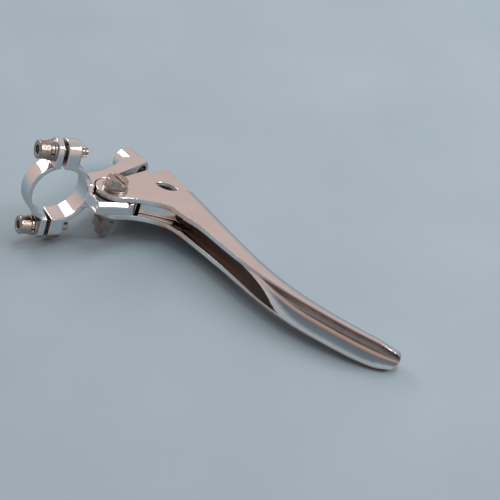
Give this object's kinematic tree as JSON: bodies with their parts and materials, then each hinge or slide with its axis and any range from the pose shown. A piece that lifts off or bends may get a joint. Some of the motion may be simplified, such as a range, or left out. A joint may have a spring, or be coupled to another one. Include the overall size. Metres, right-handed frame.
{
  "type": "motorcycle clutch lever",
  "caption": "Chromed handlebar clutch lever: split bar clamp bracket with a cable barrel and a long curved, channelled lever blade hinged on a nutted pivot bolt.",
  "frame": {"origin": "on the handlebar axis at the middle of the clamp", "axes": "+X along the handlebar towards its open end and the lever's tip, +Y away from the bar towards the fingers, +Z along the pivot towards the bolt head"},
  "size_m": [0.1729, 0.1213, 0.0504],
  "materials": {
    "bracket": "mirror polished",
    "clamp_band": "mirror polished",
    "lever": "mirror polished",
    "upper_plain_washer": "bright zinc and stainless",
    "lower_plain_washer": "bright zinc and stainless",
    "upper_spring_washer": "bright zinc and stainless",
    "lower_spring_washer": "bright zinc and stainless",
    "upper_clamp_screw": "bright zinc and stainless",
    "lower_clamp_screw": "bright zinc and stainless",
    "pivot_washer": "bright zinc and stainless",
    "pivot_bolt": "bright zinc and stainless",
    "pivot_nut": "bright zinc and stainless",
    "lock_nut": "bright zinc and stainless",
    "lock_nut_insert": "matte"
  },
  "bodies": {
    "mount": {"bracket": "bracket", "clamp_band": "clamp_band", "upper_plain_washer": "upper_plain_washer", "lower_plain_washer": "lower_plain_washer", "upper_spring_washer": "upper_spring_washer", "lower_spring_washer": "lower_spring_washer", "upper_clamp_screw": "upper_clamp_screw", "lower_clamp_screw": "lower_clamp_screw", "pivot_washer": "pivot_washer", "pivot_bolt": "pivot_bolt", "pivot_nut": "pivot_nut", "lock_nut": "lock_nut", "lock_nut_insert": "lock_nut_insert"},
    "lever": {"lever": "lever"}
  },
  "joints": [
    {"name": "lever_pivot", "type": "hinge", "parent": "mount", "child": "lever", "pos_m": [0.0076, 0.025, 0], "axis": [0, 0, -1], "range_deg": [0, 26]}
  ]
}
